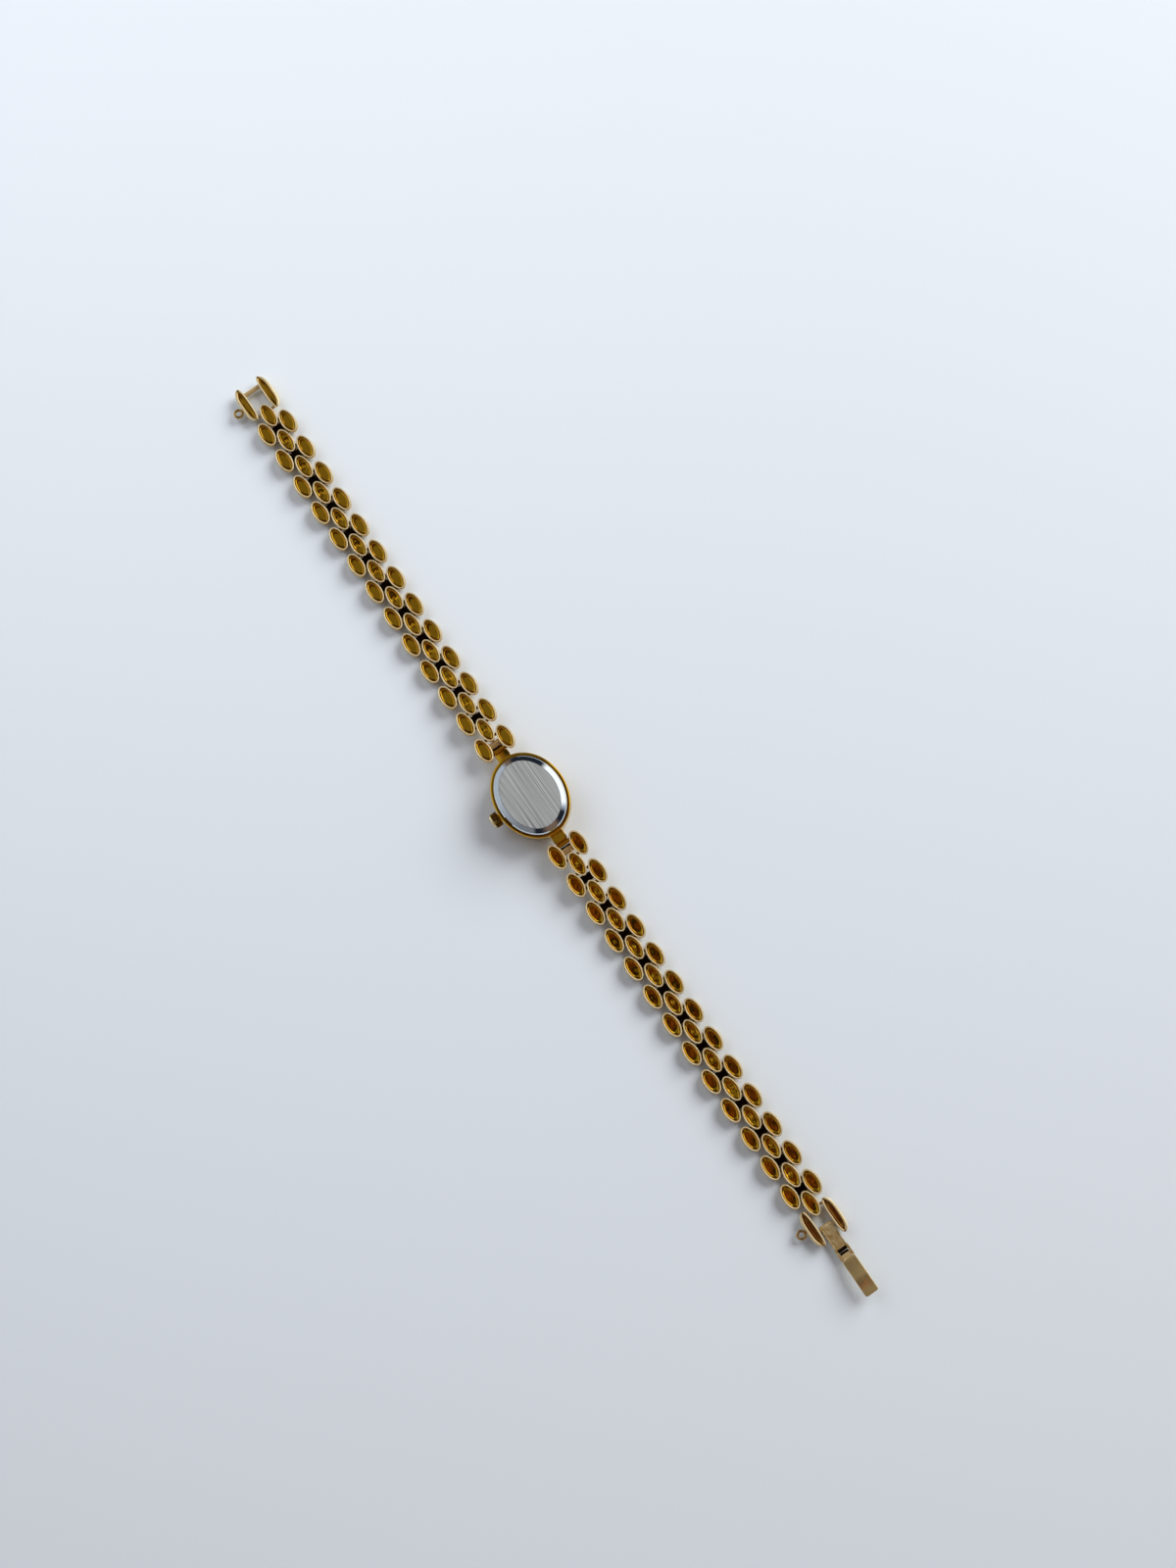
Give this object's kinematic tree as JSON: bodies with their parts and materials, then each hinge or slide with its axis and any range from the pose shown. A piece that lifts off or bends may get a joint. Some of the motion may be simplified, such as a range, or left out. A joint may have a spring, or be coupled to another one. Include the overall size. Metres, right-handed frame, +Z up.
{
  "type": "oval bracelet watch",
  "caption": "Small oval quartz wristwatch with a steel back, a hinged bracelet of pressed gold grains in three rows and a fold-over clasp.",
  "frame": {"origin": "middle of the crystal's outer face, on which the watch lies face down", "axes": "+X along the bracelet to the 6 o'clock end with the clasp cover, +Z up out of the case back, crown at -Y"},
  "size_m": [0.1852, 0.0142, 0.006],
  "materials": {
    "gold": "polished",
    "steel_back": "brushed flat, polished bevel",
    "glass": "clear",
    "dial_white": "satin",
    "plate_brass": "satin",
    "bright_steel": "polished",
    "winding_copper": "enamelled",
    "board_green": "matt",
    "ring_plastic": "moulded",
    "seal_black": "matt",
    "wheel_white": "moulded",
    "magnet_grey": "ground"
  },
  "bodies": {
    "case": {"case_body": "gold", "case_back": "steel_back", "back_gasket": "seal_black", "crystal": "glass", "dial": "dial_white", "hour_markers": "gold", "movement_ring": "ring_plastic", "main_plate": "plate_brass", "train_bridge": "plate_brass", "plate_screws": "bright_steel", "battery": "bright_steel", "battery_clamp": "bright_steel", "coil": "winding_copper", "stator": "bright_steel", "circuit_board": "board_green", "quartz_can": "bright_steel"},
    "setting_lever": {"setting_lever": "bright_steel"},
    "crown": {"crown": "gold", "crown_gasket": "seal_black", "stem": "bright_steel"},
    "minute": {"minute_hand": "gold", "centre_wheel": "plate_brass"},
    "hour": {"hour_hand": "gold", "hour_wheel": "plate_brass"},
    "minute_wheel": {"minute_wheel": "wheel_white"},
    "third_wheel": {"third_wheel": "wheel_white"},
    "step_wheel": {"step_wheel": "wheel_white"},
    "rotor": {"rotor": "magnet_grey"},
    "link_12h_01": {"link_12h_01": "gold"},
    "link_12h_02": {"link_12h_02": "gold"},
    "link_12h_03": {"link_12h_03": "gold"},
    "link_12h_04": {"link_12h_04": "gold"},
    "link_12h_05": {"link_12h_05": "gold"},
    "link_12h_06": {"link_12h_06": "gold"},
    "link_12h_07": {"link_12h_07": "gold"},
    "link_12h_08": {"link_12h_08": "gold"},
    "link_12h_09": {"link_12h_09": "gold"},
    "link_12h_10": {"link_12h_10": "gold"},
    "link_12h_11": {"link_12h_11": "gold"},
    "link_12h_12": {"link_12h_12": "gold"},
    "link_12h_13": {"link_12h_13": "gold"},
    "clasp_frame_12h": {"clasp_frame_12h": "gold", "chain_eye_12h": "gold"},
    "link_6h_01": {"link_6h_01": "gold"},
    "link_6h_02": {"link_6h_02": "gold"},
    "link_6h_03": {"link_6h_03": "gold"},
    "link_6h_04": {"link_6h_04": "gold"},
    "link_6h_05": {"link_6h_05": "gold"},
    "link_6h_06": {"link_6h_06": "gold"},
    "link_6h_07": {"link_6h_07": "gold"},
    "link_6h_08": {"link_6h_08": "gold"},
    "link_6h_09": {"link_6h_09": "gold"},
    "link_6h_10": {"link_6h_10": "gold"},
    "link_6h_11": {"link_6h_11": "gold"},
    "link_6h_12": {"link_6h_12": "gold"},
    "link_6h_13": {"link_6h_13": "gold"},
    "clasp_frame_6h": {"clasp_frame_6h": "gold", "chain_eye_6h": "gold"},
    "clasp_tongue": {"clasp_tongue": "gold"},
    "clasp_cover": {"clasp_cover": "gold"}
  },
  "joints": [
    {"name": "link_12h_01_hinge", "type": "hinge", "parent": "case", "child": "link_12h_01", "pos_m": [-0.0094, 0, 0.0025], "axis": [0, 1, 0], "range_deg": [-2.53, 18.47]},
    {"name": "link_12h_02_hinge", "type": "hinge", "parent": "link_12h_01", "child": "link_12h_02", "pos_m": [-0.01497, 0, 0.00197], "axis": [0, 1, 0], "range_deg": [-8, 13]},
    {"name": "link_12h_03_hinge", "type": "hinge", "parent": "link_12h_02", "child": "link_12h_03", "pos_m": [-0.02055, 0, 0.00143], "axis": [0, 1, 0], "range_deg": [-8, 13]},
    {"name": "link_12h_04_hinge", "type": "hinge", "parent": "link_12h_03", "child": "link_12h_04", "pos_m": [-0.02612, 0, 0.0009], "axis": [0, 1, 0], "range_deg": [-13.47, 7.53]},
    {"name": "link_12h_05_hinge", "type": "hinge", "parent": "link_12h_04", "child": "link_12h_05", "pos_m": [-0.03172, 0, 0.0009], "axis": [0, 1, 0], "range_deg": [-8, 13]},
    {"name": "link_12h_06_hinge", "type": "hinge", "parent": "link_12h_05", "child": "link_12h_06", "pos_m": [-0.03732, 0, 0.0009], "axis": [0, 1, 0], "range_deg": [-8, 13]},
    {"name": "link_12h_07_hinge", "type": "hinge", "parent": "link_12h_06", "child": "link_12h_07", "pos_m": [-0.04292, 0, 0.0009], "axis": [0, 1, 0], "range_deg": [-8, 13]},
    {"name": "link_12h_08_hinge", "type": "hinge", "parent": "link_12h_07", "child": "link_12h_08", "pos_m": [-0.04852, 0, 0.0009], "axis": [0, 1, 0], "range_deg": [-8, 13]},
    {"name": "link_12h_09_hinge", "type": "hinge", "parent": "link_12h_08", "child": "link_12h_09", "pos_m": [-0.05412, 0, 0.0009], "axis": [0, 1, 0], "range_deg": [-8, 13]},
    {"name": "link_12h_10_hinge", "type": "hinge", "parent": "link_12h_09", "child": "link_12h_10", "pos_m": [-0.05972, 0, 0.0009], "axis": [0, 1, 0], "range_deg": [-8, 13]},
    {"name": "link_12h_11_hinge", "type": "hinge", "parent": "link_12h_10", "child": "link_12h_11", "pos_m": [-0.06532, 0, 0.0009], "axis": [0, 1, 0], "range_deg": [-8, 13]},
    {"name": "link_12h_12_hinge", "type": "hinge", "parent": "link_12h_11", "child": "link_12h_12", "pos_m": [-0.07092, 0, 0.0009], "axis": [0, 1, 0], "range_deg": [-8, 13]},
    {"name": "link_12h_13_hinge", "type": "hinge", "parent": "link_12h_12", "child": "link_12h_13", "pos_m": [-0.07652, 0, 0.0009], "axis": [0, 1, 0], "range_deg": [-8, 13]},
    {"name": "clasp_frame_12h_hinge", "type": "hinge", "parent": "link_12h_13", "child": "clasp_frame_12h", "pos_m": [-0.08162, 0, 0.0009], "axis": [0, 1, 0], "range_deg": [-8, 13]},
    {"name": "link_6h_01_hinge", "type": "hinge", "parent": "case", "child": "link_6h_01", "pos_m": [0.0094, 0, 0.0025], "axis": [0, -1, 0], "range_deg": [-2.53, 18.47]},
    {"name": "link_6h_02_hinge", "type": "hinge", "parent": "link_6h_01", "child": "link_6h_02", "pos_m": [0.01497, 0, 0.00197], "axis": [0, -1, 0], "range_deg": [-8, 13]},
    {"name": "link_6h_03_hinge", "type": "hinge", "parent": "link_6h_02", "child": "link_6h_03", "pos_m": [0.02055, 0, 0.00143], "axis": [0, -1, 0], "range_deg": [-8, 13]},
    {"name": "link_6h_04_hinge", "type": "hinge", "parent": "link_6h_03", "child": "link_6h_04", "pos_m": [0.02612, 0, 0.0009], "axis": [0, -1, 0], "range_deg": [-13.47, 7.53]},
    {"name": "link_6h_05_hinge", "type": "hinge", "parent": "link_6h_04", "child": "link_6h_05", "pos_m": [0.03172, 0, 0.0009], "axis": [0, -1, 0], "range_deg": [-8, 13]},
    {"name": "link_6h_06_hinge", "type": "hinge", "parent": "link_6h_05", "child": "link_6h_06", "pos_m": [0.03732, 0, 0.0009], "axis": [0, -1, 0], "range_deg": [-8, 13]},
    {"name": "link_6h_07_hinge", "type": "hinge", "parent": "link_6h_06", "child": "link_6h_07", "pos_m": [0.04292, 0, 0.0009], "axis": [0, -1, 0], "range_deg": [-8, 13]},
    {"name": "link_6h_08_hinge", "type": "hinge", "parent": "link_6h_07", "child": "link_6h_08", "pos_m": [0.04852, 0, 0.0009], "axis": [0, -1, 0], "range_deg": [-8, 13]},
    {"name": "link_6h_09_hinge", "type": "hinge", "parent": "link_6h_08", "child": "link_6h_09", "pos_m": [0.05412, 0, 0.0009], "axis": [0, -1, 0], "range_deg": [-8, 13]},
    {"name": "link_6h_10_hinge", "type": "hinge", "parent": "link_6h_09", "child": "link_6h_10", "pos_m": [0.05972, 0, 0.0009], "axis": [0, -1, 0], "range_deg": [-8, 13]},
    {"name": "link_6h_11_hinge", "type": "hinge", "parent": "link_6h_10", "child": "link_6h_11", "pos_m": [0.06532, 0, 0.0009], "axis": [0, -1, 0], "range_deg": [-8, 13]},
    {"name": "link_6h_12_hinge", "type": "hinge", "parent": "link_6h_11", "child": "link_6h_12", "pos_m": [0.07092, 0, 0.0009], "axis": [0, -1, 0], "range_deg": [-8, 13]},
    {"name": "link_6h_13_hinge", "type": "hinge", "parent": "link_6h_12", "child": "link_6h_13", "pos_m": [0.07652, 0, 0.0009], "axis": [0, -1, 0], "range_deg": [-8, 13]},
    {"name": "clasp_frame_6h_hinge", "type": "hinge", "parent": "link_6h_13", "child": "clasp_frame_6h", "pos_m": [0.08162, 0, 0.0009], "axis": [0, -1, 0], "range_deg": [-8, 13]},
    {"name": "clasp_tongue_hinge", "type": "hinge", "parent": "clasp_frame_6h", "child": "clasp_tongue", "pos_m": [0.08512, 0, 0.0009], "axis": [0, -1, 0], "range_deg": [-45, 60]},
    {"name": "clasp_cover_hinge", "type": "hinge", "parent": "clasp_tongue", "child": "clasp_cover", "pos_m": [0.09072, 0, 0.0009], "axis": [0, 1, 0], "range_deg": [-5, 175]},
    {"name": "crown_pull", "type": "slide", "parent": "case", "child": "setting_lever", "axis": [0, -1, 0], "range_m": [0, 0.0006]},
    {"name": "crown_turn", "type": "hinge", "parent": "setting_lever", "child": "crown", "pos_m": [0, 0, 0.0032], "axis": [0, -1, 0], "continuous": true},
    {"name": "minute_turn", "type": "hinge", "parent": "case", "child": "minute", "pos_m": [0, 0, 0.003], "axis": [0, 0, 1], "continuous": true},
    {"name": "hour_turn", "type": "hinge", "parent": "case", "child": "hour", "pos_m": [0, 0, 0.003], "axis": [0, 0, 1], "continuous": true},
    {"name": "minute_wheel_turn", "type": "hinge", "parent": "case", "child": "minute_wheel", "pos_m": [0, 0.001, 0.003], "axis": [0, 0, 1], "continuous": true},
    {"name": "third_wheel_turn", "type": "hinge", "parent": "case", "child": "third_wheel", "pos_m": [-0.0009, -0.00044, 0.003], "axis": [0, 0, 1], "continuous": true},
    {"name": "step_wheel_turn", "type": "hinge", "parent": "case", "child": "step_wheel", "pos_m": [-0.0015, -0.00148, 0.003], "axis": [0, 0, 1], "continuous": true},
    {"name": "rotor_turn", "type": "hinge", "parent": "case", "child": "rotor", "pos_m": [-0.00255, -0.00148, 0.003], "axis": [0, 0, 1], "continuous": true}
  ],
  "couplings": [
    {"joint": "hour_turn", "follows": "minute_turn", "ratio": 0.083333},
    {"joint": "minute_wheel_turn", "follows": "minute_turn", "ratio": -0.33333},
    {"joint": "third_wheel_turn", "follows": "minute_turn", "ratio": -3},
    {"joint": "step_wheel_turn", "follows": "minute_turn", "ratio": 15},
    {"joint": "rotor_turn", "follows": "minute_turn", "ratio": -90}
  ]
}
